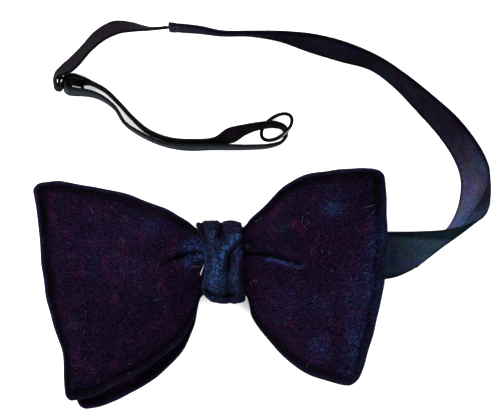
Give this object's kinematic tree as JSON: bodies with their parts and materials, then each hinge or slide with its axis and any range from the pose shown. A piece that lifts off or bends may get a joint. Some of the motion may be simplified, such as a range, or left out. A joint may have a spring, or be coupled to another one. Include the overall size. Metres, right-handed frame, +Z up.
{
  "type": "bow tie",
  "caption": "Ready-tied velvet bow tie with layered butterfly wings, wrapped knot, satin neck band, adjuster tape, slider and ring, lying face up.",
  "frame": {"origin": "middle of the flat back of the knot, on the surface that the bow tie lies on", "axes": "+Z up out of the face of the bow, +X along the bow towards the wing that the band leaves, +Y across the bow towards the neck loop"},
  "size_m": [0.1655, 0.141, 0.018],
  "materials": {
    "velvet": "dark blue-black cut-pile velvet, worn lighter at the knot",
    "satin": "dark blue satin ribbon with a soft sheen",
    "tape": "black woven narrow tape",
    "black_metal": "black lacquered metal with worn bright spots"
  },
  "bodies": {
    "root": {"front_bow": "velvet", "back_bow": "velvet", "knot": "velvet", "neck_band": "satin", "adjuster_tape": "tape", "slider": "black_metal", "ring": "black_metal", "hook": "black_metal"}
  },
  "joints": []
}
